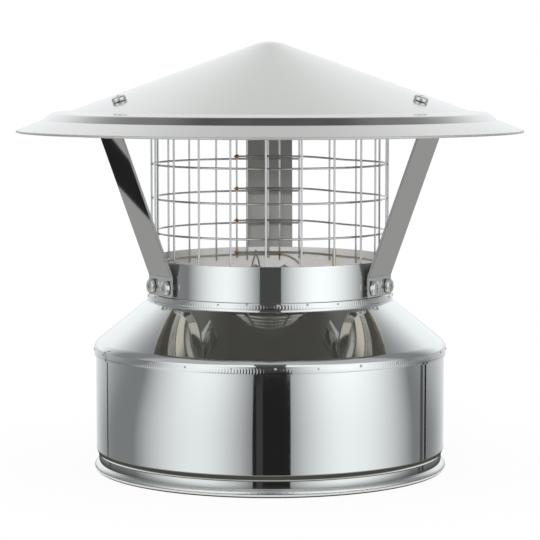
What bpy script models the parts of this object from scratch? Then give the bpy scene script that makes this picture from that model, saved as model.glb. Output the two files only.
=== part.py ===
"""Chimney cap for a twin-wall flue, in stainless steel.

A spun rain hat stands on three bent straps above a plain flue tube.  A
sheet of welded wire mesh, rolled to a cylinder, keeps birds out of the
tube.  A conical shoulder, seam-welded at its neck and its skirt, joins the
tube to the short outer casing that slips over the flue's outer wall.

Metres, +Z up.  The axis of the flue is the Z axis and the base rests on
z = 0.  The front, with one wire of the guard near its middle, is at -Y.
Azimuths are measured from the front and grow towards +X.
"""

import math

import bmesh
import bpy
from mathutils import Matrix, Vector

# Sheet, clearances and the fineness of round pieces
SHEET = 0.0006
SEAT_GAP = 0.0003
SEGMENTS = 48
CORNER_STEPS = 2

# Flue tube
FLUE_RADIUS = 0.0625
FLUE_FOOT_HEIGHT = 0.008

# Outer casing, down to the groove and the rolled rim that it rests on
CASING_RADIUS = 0.090
GROOVE_DEPTH = 0.0012
GROOVE_RADIUS = CASING_RADIUS - GROOVE_DEPTH
GROOVE_TOP_HEIGHT = 0.0069
TAPER_TOP_HEIGHT = 0.0106
ROLL_RADIUS = 0.0021
ROLL_START = math.radians(90)
ROLL_STEP = math.radians(45)
ROLL_STEPS = 5

# Conical shoulder between the tube and the casing
NECK_TOP_HEIGHT = 0.0917
NECK_LENGTH = 0.0044
SKIRT_TOP_HEIGHT = 0.0650
SKIRT_LENGTH = 0.0054
SHOULDER_BEND = 0.0012
CASING_LAP = 0.0015

# Collar, the end of the tube above the neck: its screws, the straps' bends and its rim
SCREW_RISE = 0.0050
BEND_RISE = 0.0055
RIM_RISE = 0.0072
COLLAR_SCREW_HEIGHT = NECK_TOP_HEIGHT + SCREW_RISE
STRAP_BEND_HEIGHT = COLLAR_SCREW_HEIGHT + BEND_RISE
FLUE_RIM_HEIGHT = STRAP_BEND_HEIGHT + RIM_RISE

# Rain hat, from its centre to its edge
CONE_SLOPE = math.radians(19.87)
APEX_ROUNDING = 0.023
SHELF_START_RADIUS = 0.1024
SHELF_END_RADIUS = 0.1118
SHELF_FALL = 0.0007
FOOT_RADIUS = 0.1166
RISER_HEIGHT = 0.0038
STEP_BEND = 0.0022
BRIM_SLOPE = math.radians(21)
HAT_RADIUS = 0.130
HAT_LIFT = 0.0654
HAT_EDGE_HEIGHT = FLUE_RIM_HEIGHT + HAT_LIFT
HEM_WIDTH = 0.005
HEM_BULGE = 0.0003

# Straps, one to each side in front and one behind
STRAP_AZIMUTHS = {
    "front_left": math.radians(-60),
    "front_right": math.radians(60),
    "back": math.radians(180),
}
STRAP_WIDTH = 0.0245
STRAP_THICKNESS = 0.0012
STRAP_BEND = 0.0015
STRAP_REACH = 0.032
FLANGE_LENGTH = 0.017

# Screws and nuts, all of one size
SCREW_RADIUS = 0.00175
SCREW_LENGTH = 0.008
HEAD_RADIUS = 0.0037
HEAD_HEIGHT = 0.0023
HEAD_EDGE = 0.0009
HEAD_STEPS = 2
RECESS_LENGTH = 0.0040
RECESS_WIDTH = 0.0009
RECESS_DEPTH = 0.0014
RECESS_TAPER = 0.6
NUT_FLATS = 0.006
NUT_HEIGHT = 0.0028
NUT_CHAMFER = 0.0004
THREAD_GAP = 0.0002
HOLE_GAP = 0.0004
SCREW_SIDES = 12
COLLAR_SCREW_SPACING = 0.0155
HAT_SCREW_INSET = 0.010

# Bird guard, a sheet of welded mesh that laps itself at the back
WIRE_RADIUS = 0.00052
WIRE_SIDES = 6
GUARD_GAP = 0.0004
WELD_DEPTH = 0.00022
FRONT_WIRE_AZIMUTH = math.radians(-1.9)
CELL_ANGLE = math.radians(16.63)
WIRES_TO_LEFT = 11
WIRES_TO_RIGHT = 12
RING_COUNT = 6
RING_DROP = 0.0040
LOWEST_RING_HEIGHT = FLUE_RIM_HEIGHT - RING_DROP
STUB_LENGTH = 0.0018
GUARD_HEADROOM = 0.0044
LEFT_RING_STUB = math.radians(8.0)
RIGHT_RING_STUB = math.radians(1.8)
LAP_STEP = 0.0022
LAP_WELD_STEP = 0.00165
LAP_EASE = math.radians(30)
LOOSE_END_DROP = 0.0038
LOOSE_END_INSET = 0.0022

# Tie wire, looped round the guard's lowest ring and one screw end
TIE_RADIUS = 0.00035
TIE_GAP = 0.00018
TIE_SIDES_RESOLUTION = 1
TIE_ARC_STEPS = 6
TIE_LEG_STEPS = 5


def steel(name, colour, roughness):
    """Metal of a given colour and polish."""
    material = bpy.data.materials.new(name)
    material.use_nodes = True
    shader = material.node_tree.nodes["Principled BSDF"]
    shader.inputs["Base Color"].default_value = (*colour, 1)
    shader.inputs["Metallic"].default_value = 1
    shader.inputs["Roughness"].default_value = roughness
    material.diffuse_color = (*colour, 1)
    return material


def add_object(name, bm, material):
    """Turn a finished bmesh into a smooth-shaded object."""
    bmesh.ops.recalc_face_normals(bm, faces=bm.faces)
    mesh = bpy.data.meshes.new(name)
    bm.to_mesh(mesh)
    bm.free()
    mesh.shade_smooth()
    mesh.set_sharp_from_angle(angle=math.radians(30))
    mesh.materials.append(material)
    piece = bpy.data.objects.new(name, mesh)
    bpy.context.collection.objects.link(piece)
    return piece


def hide_as_cutter(piece):
    """Keep a cutter out of the model itself."""
    piece.hide_render = True
    piece.display_type = "WIRE"


def combine(piece, other, operation):
    """Cut a piece by another object, or weld the two into one."""
    modifier = piece.modifiers.new(other.name, "BOOLEAN")
    modifier.operation = operation
    modifier.solver = "EXACT"
    modifier.object = other


def rounded(points, radii):
    """Open path through points, with an arc of the given radius at each inner one."""
    path = [Vector(points[0])]
    for before, corner, after, radius in zip(points, points[1:], points[2:], radii):
        corner = Vector(corner)
        to_before = (Vector(before) - corner).normalized()
        to_after = (Vector(after) - corner).normalized()
        half_angle = to_before.angle(to_after) / 2
        if radius == 0:
            path.append(corner)
            continue
        centre = corner + (to_before + to_after).normalized() * radius / math.sin(half_angle)
        start = corner + to_before * radius / math.tan(half_angle) - centre
        finish = corner + to_after * radius / math.tan(half_angle) - centre
        for step in range(CORNER_STEPS + 1):
            path.append(centre + start.slerp(finish, step / CORNER_STEPS).normalized() * radius)
    path.append(Vector(points[-1]))
    return path


def offset_path(path, distance):
    """Copy of an open path, moved to its right by a distance and mitred at its corners."""
    moved = []
    for index, point in enumerate(path):
        ahead = path[min(index + 1, len(path) - 1)]
        behind = path[max(index - 1, 0)]
        into = (point - behind if index else ahead - point).normalized()
        out_of = (ahead - point if index < len(path) - 1 else point - behind).normalized()
        right = Vector((into.y + out_of.y, -into.x - out_of.x)).normalized()
        moved.append(point + right * distance / right.dot(Vector((into.y, -into.x))))
    return moved


def sheet_section(path, thickness):
    """Closed section of sheet metal whose outer face follows a path."""
    return path + offset_path(path, thickness)[::-1]


def turned(name, section, material, closed=True):
    """Spin a section of (radius, height) points once round the Z axis."""
    bm = bmesh.new()
    verts = [bm.verts.new((point[0], 0, point[1])) for point in section]
    edges = [bm.edges.new(pair) for pair in zip(verts, verts[1:])]
    if closed:
        edges.append(bm.edges.new((verts[-1], verts[0])))
    bmesh.ops.spin(
        bm, geom=verts + edges, cent=(0, 0, 0), axis=(0, 0, 1), angle=math.tau, steps=SEGMENTS
    )
    bmesh.ops.remove_doubles(bm, verts=bm.verts, dist=1e-6)
    return add_object(name, bm, material)


def out_direction(azimuth):
    """Level direction from the axis towards an azimuth."""
    return Vector((math.sin(azimuth), -math.cos(azimuth), 0))


def side_direction(azimuth):
    """Level direction along a surface that faces an azimuth."""
    return Vector((math.cos(azimuth), math.sin(azimuth), 0))


def cone_height(radius):
    """Height of the hat's conical upper face at a radius."""
    shelf_height = HAT_EDGE_HEIGHT + (HAT_RADIUS - FOOT_RADIUS) * math.tan(BRIM_SLOPE)
    shelf_height += RISER_HEIGHT + SHELF_FALL
    return shelf_height + (SHELF_START_RADIUS - radius) * math.tan(CONE_SLOPE)


def below_cone(radius, depth):
    """Height of a line that runs a given depth below the hat's upper face."""
    return cone_height(radius) - depth / math.cos(CONE_SLOPE)


def strap_face():
    """Distance from the axis to the outer face of a strap's lower tab."""
    return FLUE_RADIUS + SEAT_GAP + STRAP_THICKNESS


def strap_corner():
    """Distance from the axis to the corner between a strap's leg and its flange."""
    return strap_face() + STRAP_REACH


def flange_depth():
    """Depth of the strap's top face: a flat strap meets the cone at its two edges."""
    flange_end = strap_corner() - FLANGE_LENGTH
    edge_radius = math.hypot(flange_end, STRAP_WIDTH / 2)
    return SHEET + SEAT_GAP + (edge_radius - flange_end) * math.sin(CONE_SLOPE)


def make_rain_hat(material):
    """Spun hat: rounded cone, level shelf, stepped riser and a sloping, hemmed brim."""
    brim_run = HAT_RADIUS - FOOT_RADIUS
    foot_height = HAT_EDGE_HEIGHT + brim_run * math.tan(BRIM_SLOPE)
    shelf_end_height = foot_height + RISER_HEIGHT
    edge_radius = HAT_RADIUS - HEM_BULGE + SHEET * math.sin(BRIM_SLOPE)
    edge_height = HAT_EDGE_HEIGHT + (HAT_RADIUS - edge_radius) * math.tan(BRIM_SLOPE)

    rounding_end = APEX_ROUNDING * math.sin(CONE_SLOPE)
    dome_centre = cone_height(0) - APEX_ROUNDING / math.cos(CONE_SLOPE)
    dome = []
    for step in range(CORNER_STEPS):
        angle = CONE_SLOPE * step / CORNER_STEPS
        dome.append(Vector((
            APEX_ROUNDING * math.sin(angle),
            dome_centre + APEX_ROUNDING * math.cos(angle),
        )))
    skin = dome + rounded(
        [
            (rounding_end, cone_height(rounding_end)),
            (SHELF_START_RADIUS, cone_height(SHELF_START_RADIUS)),
            (SHELF_END_RADIUS, shelf_end_height),
            (FOOT_RADIUS, foot_height),
            (edge_radius, edge_height),
        ],
        [0, STEP_BEND, STEP_BEND],
    )
    underside = offset_path(skin, SHEET)
    underside[0].x = 0

    down_brim = (skin[-1] - skin[-2]).normalized()
    folded_edge = offset_path(skin, 2 * SHEET)[-1]
    hem = [
        (skin[-1] + folded_edge) / 2 + down_brim * HEM_BULGE / math.cos(BRIM_SLOPE),
        folded_edge,
        folded_edge - down_brim * HEM_WIDTH,
        underside[-1] - down_brim * HEM_WIDTH,
    ]
    section = skin + hem + underside[-2::-1]
    return turned("rain_hat", section, material, closed=False)


def make_flue_tube(material):
    """Plain tube that carries the straps and slips on the flue's inner wall."""
    wall = [Vector((FLUE_RADIUS, FLUE_RIM_HEIGHT)), Vector((FLUE_RADIUS, FLUE_FOOT_HEIGHT))]
    return turned("flue_tube", sheet_section(wall, SHEET), material)


def make_shoulder(material):
    """Cone with an upright neck on the tube and an upright skirt on the casing."""
    neck_radius = FLUE_RADIUS + SEAT_GAP + SHEET
    skirt_radius = CASING_RADIUS + SEAT_GAP + SHEET
    skin = rounded(
        [
            (neck_radius, NECK_TOP_HEIGHT),
            (neck_radius, NECK_TOP_HEIGHT - NECK_LENGTH),
            (skirt_radius, SKIRT_TOP_HEIGHT),
            (skirt_radius, SKIRT_TOP_HEIGHT - SKIRT_LENGTH),
        ],
        [0, SHOULDER_BEND],
    )
    return turned("shoulder_cone", sheet_section(skin, SHEET), material)


def make_outer_casing(material):
    """Casing wall, drawn in to a groove above the rolled rim that it rests on."""
    roll_height = ROLL_RADIUS * math.cos(ROLL_STEP / 2)
    skin = [
        Vector((CASING_RADIUS, SKIRT_TOP_HEIGHT - CASING_LAP)),
        Vector((CASING_RADIUS, TAPER_TOP_HEIGHT)),
        Vector((GROOVE_RADIUS, GROOVE_TOP_HEIGHT)),
        Vector((GROOVE_RADIUS, roll_height + ROLL_RADIUS * math.cos(ROLL_STEP / 2))),
    ]
    for step in range(ROLL_STEPS):
        angle = ROLL_START - ROLL_STEP * (step + 0.5)
        skin.append(Vector((
            GROOVE_RADIUS + ROLL_RADIUS * math.cos(angle),
            roll_height + ROLL_RADIUS * math.sin(angle),
        )))
    return turned("outer_casing", sheet_section(skin, SHEET), material)


def make_strap(side, azimuth, material):
    """Flat strap: tab on the tube, leaning leg, and a flange under the hat."""
    face = strap_face()
    flange_end = strap_corner() - FLANGE_LENGTH
    section = sheet_section(
        rounded(
            [
                (flange_end, below_cone(flange_end, flange_depth())),
                (strap_corner(), below_cone(strap_corner(), flange_depth())),
                (face, STRAP_BEND_HEIGHT),
                (face, NECK_TOP_HEIGHT + SEAT_GAP),
            ],
            [STRAP_BEND + STRAP_THICKNESS, STRAP_BEND],
        ),
        STRAP_THICKNESS,
    )
    out, along = out_direction(azimuth), side_direction(azimuth)
    bm = bmesh.new()
    verts = [
        bm.verts.new(out * point.x + Vector((0, 0, point.y)) - along * STRAP_WIDTH / 2)
        for point in section
    ]
    outline = bm.faces.new(verts)
    extruded = bmesh.ops.extrude_face_region(bm, geom=[outline])
    moved = [item for item in extruded["geom"] if isinstance(item, bmesh.types.BMVert)]
    bmesh.ops.translate(bm, verts=moved, vec=along * STRAP_WIDTH)
    return add_object("strap_" + side, bm, material)


def screw_frames():
    """Place of each screw: its name, the point under its head, and its outward axis."""
    frames = []
    hat_screw_radius = strap_corner() - HAT_SCREW_INSET
    for side, azimuth in STRAP_AZIMUTHS.items():
        out, along = out_direction(azimuth), side_direction(azimuth)
        for number, shift in ((1, -COLLAR_SCREW_SPACING / 2), (2, COLLAR_SCREW_SPACING / 2)):
            seat = out * (strap_face() + SEAT_GAP) + along * shift
            seat.z = COLLAR_SCREW_HEIGHT
            frames.append((f"collar_{{}}_{side}_{number}", seat, out))
        axis = out * math.sin(CONE_SLOPE) + Vector((0, 0, math.cos(CONE_SLOPE)))
        seat = out * hat_screw_radius + Vector((0, 0, cone_height(hat_screw_radius)))
        frames.append((f"hat_{{}}_{side}", seat + axis * SEAT_GAP, axis))
    return frames


def stand_on(piece, point, axis):
    """Place a piece with its own origin at a point and its Z axis along an axis."""
    piece.matrix_world = Matrix.Translation(point) @ axis.to_track_quat("Z", "Y").to_matrix().to_4x4()


def make_screw_mesh(material):
    """Pan head with a cross recess above the origin, and a plain shank below it."""
    bm = bmesh.new()
    dome_rise = HEAD_HEIGHT - HEAD_EDGE
    profile = []
    for step in range(HEAD_STEPS + 1):
        angle = math.radians(90) * step / HEAD_STEPS
        profile.append((HEAD_RADIUS * math.sin(angle), HEAD_EDGE + dome_rise * math.cos(angle)))
    profile += [(HEAD_RADIUS, 0), (SCREW_RADIUS, 0), (SCREW_RADIUS, -SCREW_LENGTH), (0, -SCREW_LENGTH)]
    verts = [bm.verts.new((radius, 0, height)) for radius, height in profile]
    edges = [bm.edges.new(pair) for pair in zip(verts, verts[1:])]
    bmesh.ops.spin(
        bm, geom=verts + edges, cent=(0, 0, 0), axis=(0, 0, 1), angle=math.tau, steps=SCREW_SIDES
    )
    bmesh.ops.remove_doubles(bm, verts=bm.verts, dist=1e-6)
    screw = add_object("screw_pattern", bm, material)

    half, wide = RECESS_LENGTH / 2, RECESS_WIDTH / 2
    cross = [
        (wide, wide), (half, wide), (half, -wide), (wide, -wide), (wide, -half), (-wide, -half),
        (-wide, -wide), (-half, -wide), (-half, wide), (-wide, wide), (-wide, half), (wide, half),
    ]
    bm = bmesh.new()
    top = [bm.verts.new((x, y, HEAD_HEIGHT * 1.2)) for x, y in cross]
    floor = [
        bm.verts.new((x * RECESS_TAPER, y * RECESS_TAPER, HEAD_HEIGHT - RECESS_DEPTH))
        for x, y in cross
    ]
    bm.faces.new(top)
    bm.faces.new(floor)
    for index in range(len(cross)):
        after = (index + 1) % len(cross)
        bm.faces.new((top[index], top[after], floor[after], floor[index]))
    recess = add_object("cross_recess", bm, material)
    combine(screw, recess, "DIFFERENCE")
    hide_as_cutter(recess)
    hide_as_cutter(screw)
    bpy.context.view_layer.update()
    evaluated = screw.evaluated_get(bpy.context.evaluated_depsgraph_get())
    return bpy.data.meshes.new_from_object(evaluated)


def make_nut_mesh(material):
    """Hexagon nut with a chamfered outer face, hanging below the origin."""
    bore = SCREW_RADIUS + THREAD_GAP
    flat = NUT_FLATS / 2
    loops = []
    for corner_radius, flat_radius, height in (
        (bore, bore, 0),
        (flat / math.cos(math.radians(30)), flat, 0),
        (flat / math.cos(math.radians(30)), flat, NUT_CHAMFER - NUT_HEIGHT),
        (flat, flat - NUT_CHAMFER / 4, -NUT_HEIGHT),
        (bore, bore, -NUT_HEIGHT),
    ):
        loops.append([
            (
                (corner_radius if index % 2 else flat_radius) * math.cos(math.radians(30) * index),
                (corner_radius if index % 2 else flat_radius) * math.sin(math.radians(30) * index),
                height,
            )
            for index in range(12)
        ])
    bm = bmesh.new()
    rows = [[bm.verts.new(point) for point in loop] for loop in loops]
    for row, below in zip(rows, rows[1:] + rows[:1]):
        for index in range(12):
            after = (index + 1) % 12
            bm.faces.new((row[index], row[after], below[after], below[index]))
    pattern = add_object("nut_pattern", bm, material)
    hide_as_cutter(pattern)
    return pattern.data


def collar_nut_depth():
    """Depth from a collar screw's seat to its nut, which meets the round wall at one edge."""
    far_edge = COLLAR_SCREW_SPACING / 2 + NUT_FLATS / math.sqrt(3)
    wall = math.sqrt((FLUE_RADIUS - SHEET) ** 2 - far_edge ** 2)
    return strap_face() + SEAT_GAP - wall + SEAT_GAP


def hat_nut_depth():
    """Depth from a hat screw's seat to its nut, under the strap's flange."""
    return SEAT_GAP + flange_depth() + STRAP_THICKNESS + SEAT_GAP


def make_fasteners(material):
    """Six screws and nuts in the tube, and three in the hat."""
    screw_mesh = make_screw_mesh(material)
    nut_mesh = make_nut_mesh(material)
    for pattern, seat, axis in screw_frames():
        screw = bpy.data.objects.new(pattern.format("screw"), screw_mesh)
        bpy.context.collection.objects.link(screw)
        stand_on(screw, seat, axis)
        depth = collar_nut_depth() if pattern.startswith("collar") else hat_nut_depth()
        nut = bpy.data.objects.new(pattern.format("nut"), nut_mesh)
        bpy.context.collection.objects.link(nut)
        stand_on(nut, seat - axis * depth, axis)


def make_screw_holes(material):
    """Cutter for every screw hole in the tube, the straps and the hat."""
    bm = bmesh.new()
    for _, seat, axis in screw_frames():
        middle = seat - axis * SCREW_LENGTH / 2
        place = Matrix.Translation(middle) @ axis.to_track_quat("Z", "Y").to_matrix().to_4x4()
        bmesh.ops.create_cone(
            bm,
            cap_ends=True,
            segments=SCREW_SIDES,
            radius1=SCREW_RADIUS + HOLE_GAP,
            radius2=SCREW_RADIUS + HOLE_GAP,
            depth=SCREW_LENGTH * 1.2,
            matrix=place,
        )
    holes = add_object("screw_holes", bm, material)
    hide_as_cutter(holes)
    return holes


def lap_inset(azimuth):
    """How far the sheet stands in from the tube, growing where it laps over itself."""
    last_wire = FRONT_WIRE_AZIMUTH + WIRES_TO_RIGHT * CELL_ANGLE
    lap_start = math.tau + FRONT_WIRE_AZIMUTH - WIRES_TO_LEFT * CELL_ANGLE - LEFT_RING_STUB
    ease = min(max((azimuth - lap_start + LAP_EASE) / LAP_EASE, 0), 1)
    inset = LAP_STEP * ease * ease * (3 - 2 * ease)
    closing = min(max((azimuth - last_wire + CELL_ANGLE) / CELL_ANGLE, 0), 1)
    return inset + (LAP_WELD_STEP - LAP_STEP) * closing * closing


def upright_radius(azimuth):
    """Distance from the axis to the middle of an upright wire."""
    return FLUE_RADIUS - SHEET - GUARD_GAP - WIRE_RADIUS - lap_inset(azimuth)


def ring_radius(azimuth):
    """Distance from the axis to the middle of a ring wire, inside the uprights."""
    return upright_radius(azimuth) - 2 * WIRE_RADIUS + WELD_DEPTH


def sweep_wire(bm, path, sides=WIRE_SIDES):
    """Round wire along a path, with one edge of its section facing out from the axis."""
    rows = []
    for index, point in enumerate(path):
        ahead = path[min(index + 1, len(path) - 1)]
        behind = path[max(index - 1, 0)]
        tangent = (ahead - behind).normalized()
        out = Vector((point.x, point.y, 0))
        out = (out - tangent * out.dot(tangent)).normalized()
        across = tangent.cross(out)
        rows.append([
            bm.verts.new(
                point
                + out * WIRE_RADIUS * math.cos(math.tau * side / sides)
                + across * WIRE_RADIUS * math.sin(math.tau * side / sides)
            )
            for side in range(sides)
        ])
    for row, above in zip(rows, rows[1:]):
        for side in range(sides):
            after = (side + 1) % sides
            bm.faces.new((row[side], row[after], above[after], above[side]))
    bm.faces.new(rows[0])
    bm.faces.new(rows[-1])


def ring_path(height, loose):
    """Run of one ring wire round the sheet; the lowest has a bent loose end at the lap.

    The wire is straight where it crosses an upright and bends halfway between two.
    """
    left_wire = FRONT_WIRE_AZIMUTH - WIRES_TO_LEFT * CELL_ANGLE
    right_wire = FRONT_WIRE_AZIMUTH + WIRES_TO_RIGHT * CELL_ANGLE
    half_cells = 2 * (WIRES_TO_LEFT + WIRES_TO_RIGHT)
    azimuths = [left_wire - LEFT_RING_STUB]
    azimuths += [left_wire + CELL_ANGLE * (count - 0.5) / 2 for count in range(half_cells + 1)]
    azimuths.append(right_wire + RIGHT_RING_STUB)
    path = []
    for azimuth in azimuths:
        bend = max((left_wire - azimuth) / LEFT_RING_STUB, 0) ** 2 if loose else 0
        radius = ring_radius(azimuth) / math.cos(CELL_ANGLE / 4) - LOOSE_END_INSET * bend
        path.append(out_direction(azimuth) * radius + Vector((0, 0, height - LOOSE_END_DROP * bend)))
    return path


def make_bird_guard(material):
    """Rings and upright wires, welded where they cross, as one rolled sheet."""
    guard_top = below_cone(FLUE_RADIUS, SHEET) - GUARD_HEADROOM
    top_ring = guard_top - STUB_LENGTH
    cell_height = (top_ring - LOWEST_RING_HEIGHT) / (RING_COUNT - 1)
    bm = bmesh.new()
    for number in range(RING_COUNT):
        sweep_wire(bm, ring_path(LOWEST_RING_HEIGHT + number * cell_height, number == 0))
    rings = add_object("guard_rings", bm, material)
    hide_as_cutter(rings)

    bm = bmesh.new()
    for number in range(-WIRES_TO_LEFT, WIRES_TO_RIGHT + 1):
        azimuth = FRONT_WIRE_AZIMUTH + number * CELL_ANGLE
        foot = out_direction(azimuth) * upright_radius(azimuth)
        sweep_wire(bm, [
            foot + Vector((0, 0, LOWEST_RING_HEIGHT - STUB_LENGTH)),
            foot + Vector((0, 0, guard_top)),
        ])
    guard = add_object("bird_guard", bm, material)
    combine(guard, rings, "UNION")
    return guard


def make_tie_wire(material):
    """Closed link: its foot goes round a screw end, its head round the lowest ring."""
    screw_side = COLLAR_SCREW_SPACING / 2
    screw_loop = SCREW_RADIUS + TIE_GAP + TIE_RADIUS
    ring_loop = WIRE_RADIUS + TIE_GAP + TIE_RADIUS
    nut_inner = strap_face() + SEAT_GAP - collar_nut_depth() - NUT_HEIGHT
    foot_depth = nut_inner - TIE_GAP - TIE_RADIUS
    azimuth = math.pi + math.asin(screw_side / ring_radius(math.pi))
    head_depth = ring_radius(azimuth) * math.cos(azimuth - math.pi)

    ring_rise = LOWEST_RING_HEIGHT - COLLAR_SCREW_HEIGHT
    past_nut = (NUT_FLATS / math.sqrt(3) + TIE_GAP + TIE_RADIUS) / ring_rise

    def leg_point(rise, sign):
        """Point on one leg, which turns a quarter way round once it is past the nut."""
        turn = max((rise - past_nut) / (1 - past_nut), 0)
        reach = screw_loop + (ring_loop - screw_loop) * rise
        across = math.cos(turn * math.pi / 2) * reach * sign
        deep = foot_depth + (head_depth - foot_depth) * rise
        deep += math.sin(turn * math.pi / 2) * reach * sign
        height = COLLAR_SCREW_HEIGHT + ring_rise * rise
        return Vector((-screw_side - across, deep, height))

    path = []
    for step in range(TIE_ARC_STEPS + 1):
        angle = math.pi * step / TIE_ARC_STEPS
        path.append(Vector((
            -screw_side + screw_loop * math.cos(angle),
            foot_depth,
            COLLAR_SCREW_HEIGHT - screw_loop * math.sin(angle),
        )))
    legs = [step / (TIE_LEG_STEPS + 1) for step in range(1, TIE_LEG_STEPS + 1)]
    path += [leg_point(rise, 1) for rise in legs]
    for step in range(TIE_ARC_STEPS + 1):
        angle = math.pi * step / TIE_ARC_STEPS
        path.append(Vector((
            -screw_side,
            head_depth + ring_loop * math.cos(angle),
            LOWEST_RING_HEIGHT + ring_loop * math.sin(angle),
        )))
    path += [leg_point(rise, -1) for rise in reversed(legs)]

    curve = bpy.data.curves.new("guard_tie_wire", "CURVE")
    curve.dimensions = "3D"
    curve.bevel_depth = TIE_RADIUS
    curve.bevel_resolution = TIE_SIDES_RESOLUTION
    spline = curve.splines.new("POLY")
    spline.points.add(len(path) - 1)
    for spline_point, place in zip(spline.points, path):
        spline_point.co = (*place, 1)
    spline.use_cyclic_u = True
    curve.materials.append(material)
    tie = bpy.data.objects.new("guard_tie_wire", curve)
    bpy.context.collection.objects.link(tie)
    return tie


def build():
    """Clear the scene and build every piece in place."""
    for old in list(bpy.data.objects):
        bpy.data.objects.remove(old)

    mirror = steel("mirror_steel", (0.72, 0.72, 0.71), 0.08)
    satin = steel("satin_steel", (0.60, 0.60, 0.59), 0.35)
    wire = steel("guard_wire_steel", (0.62, 0.62, 0.61), 0.25)
    fastener = steel("fastener_steel", (0.66, 0.66, 0.65), 0.20)
    tie = steel("tie_wire_steel", (0.30, 0.28, 0.26), 0.40)

    hat = make_rain_hat(satin)
    tube = make_flue_tube(mirror)
    make_shoulder(mirror)
    make_outer_casing(mirror)
    straps = [make_strap(side, azimuth, satin) for side, azimuth in STRAP_AZIMUTHS.items()]
    make_fasteners(fastener)
    holes = make_screw_holes(fastener)
    for drilled in [hat, tube, *straps]:
        combine(drilled, holes, "DIFFERENCE")
    make_bird_guard(wire)
    make_tie_wire(tie)


build()
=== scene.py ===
import random
from math import asin, copysign, cos, hypot, pi, radians, sin, sqrt, tan, tau

import bmesh
import bpy
from mathutils import Matrix, Vector, noise


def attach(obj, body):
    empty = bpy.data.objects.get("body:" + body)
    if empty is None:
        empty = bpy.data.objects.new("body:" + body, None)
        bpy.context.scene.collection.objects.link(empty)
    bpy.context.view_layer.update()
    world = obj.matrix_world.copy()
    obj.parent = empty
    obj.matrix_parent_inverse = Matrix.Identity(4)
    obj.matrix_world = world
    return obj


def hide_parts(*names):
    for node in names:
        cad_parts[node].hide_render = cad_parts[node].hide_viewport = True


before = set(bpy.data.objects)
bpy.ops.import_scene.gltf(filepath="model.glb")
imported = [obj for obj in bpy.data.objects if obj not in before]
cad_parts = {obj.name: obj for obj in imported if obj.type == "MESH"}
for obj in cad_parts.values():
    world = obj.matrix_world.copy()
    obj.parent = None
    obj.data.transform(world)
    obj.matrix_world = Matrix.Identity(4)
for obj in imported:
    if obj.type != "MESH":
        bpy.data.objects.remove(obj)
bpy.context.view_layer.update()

# ------------------------------------------------------------------ outer casing
# The short shell that slips over the flue's insulated outer wall.  It is rolled
# from mirror-finished stainless sheet, drawn in to a groove near its foot, and
# curled outwards there into the hollow rim that it rests on.

SHEET = 0.0006
SEAT_GAP = 0.0003
SAME_POINT = 1e-7
TURN_STEPS = 192
BEND_STEPS = 6
BEND_LEAD = 0.00008

CASING_RADIUS = 0.090
CASING_TOP = 0.0635
TAPER_TOP = 0.0110
GROOVE_RADIUS = 0.0888
GROOVE_TOP = 0.0081
GROOVE_BENDS = [0.0016, 0.0012]
CURL_RADIUS = 0.0021
CURL_START = radians(80)
CURL_TURN = radians(290)
CURL_STEPS = 28


def bend_path(points, radii, steps=BEND_STEPS):
    """Path through (radius, height) points, with a round bend at each inner one."""
    path = [Vector(points[0])]
    for before, corner, after, radius in zip(points, points[1:], points[2:], radii):
        corner = Vector(corner)
        back = (Vector(before) - corner).normalized()
        ahead = (Vector(after) - corner).normalized()
        half_angle = back.angle(ahead) / 2
        centre = corner + (back + ahead).normalized() * radius / sin(half_angle)
        reach = radius / tan(half_angle)
        start = (corner + back * reach - centre).normalized()
        finish = (corner + ahead * reach - centre).normalized()
        path.append(corner + back * (reach + BEND_LEAD))
        for step in range(steps + 1):
            path.append(centre + start.slerp(finish, step / steps) * radius)
        path.append(corner + ahead * (reach + BEND_LEAD))
    path.append(Vector(points[-1]))
    return path


def inner_face(path, thickness):
    """Copy of a path, one sheet's thickness to its right."""
    moved = []
    for index, point in enumerate(path):
        ahead = path[min(index + 1, len(path) - 1)]
        behind = path[max(index - 1, 0)]
        into = (point - behind if index else ahead - point).normalized()
        out_of = (ahead - point if index < len(path) - 1 else point - behind).normalized()
        right = Vector((into.y + out_of.y, -into.x - out_of.x)).normalized()
        moved.append(point + right * thickness / right.dot(Vector((into.y, -into.x))))
    return moved


def around(radius, bearing, height):
    """Point at a bearing from the front, which grows towards +X."""
    return Vector((radius * sin(bearing), -radius * cos(bearing), height))


def arc_points(centre, first, second, turn, steps):
    """Points round a centre, from one radius of an arc towards another across it."""
    angles = [turn * step / steps for step in range(steps + 1)]
    return [centre + first * cos(angle) + second * sin(angle) for angle in angles]


def join_rings(bm, rings, caps=False, closed=True):
    """Faces between each row of points and the next, and over both ends if asked."""
    for ring, next_ring in zip(rings, rings[1:]):
        for side in range(len(ring) if closed else len(ring) - 1):
            after = (side + 1) % len(ring)
            bm.faces.new((ring[side], ring[after], next_ring[after], next_ring[side]))
    if caps:
        bm.faces.new(rings[0])
        bm.faces.new(rings[-1])


def turn_section(section, steps=TURN_STEPS, swell=None):
    """Closed section of (radius, height) points, turned once round the flue's axis."""
    bm = bmesh.new()
    rings = []
    for index, (radius, height) in enumerate(section):
        ring = []
        for step in range(steps):
            bearing = tau * step / steps
            proud = swell(index, bearing) if swell else 0
            ring.append(bm.verts.new(around(radius + proud, bearing, height)))
        rings.append(ring)
    join_rings(bm, rings + rings[:1])
    return bm


def make_mesh(name, bm):
    """Mesh with its doubled points joined and its faces turned outwards."""
    bmesh.ops.remove_doubles(bm, verts=bm.verts, dist=SAME_POINT)
    bmesh.ops.recalc_face_normals(bm, faces=bm.faces)
    mesh = bpy.data.meshes.new(name)
    bm.to_mesh(mesh)
    bm.free()
    return mesh


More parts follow.
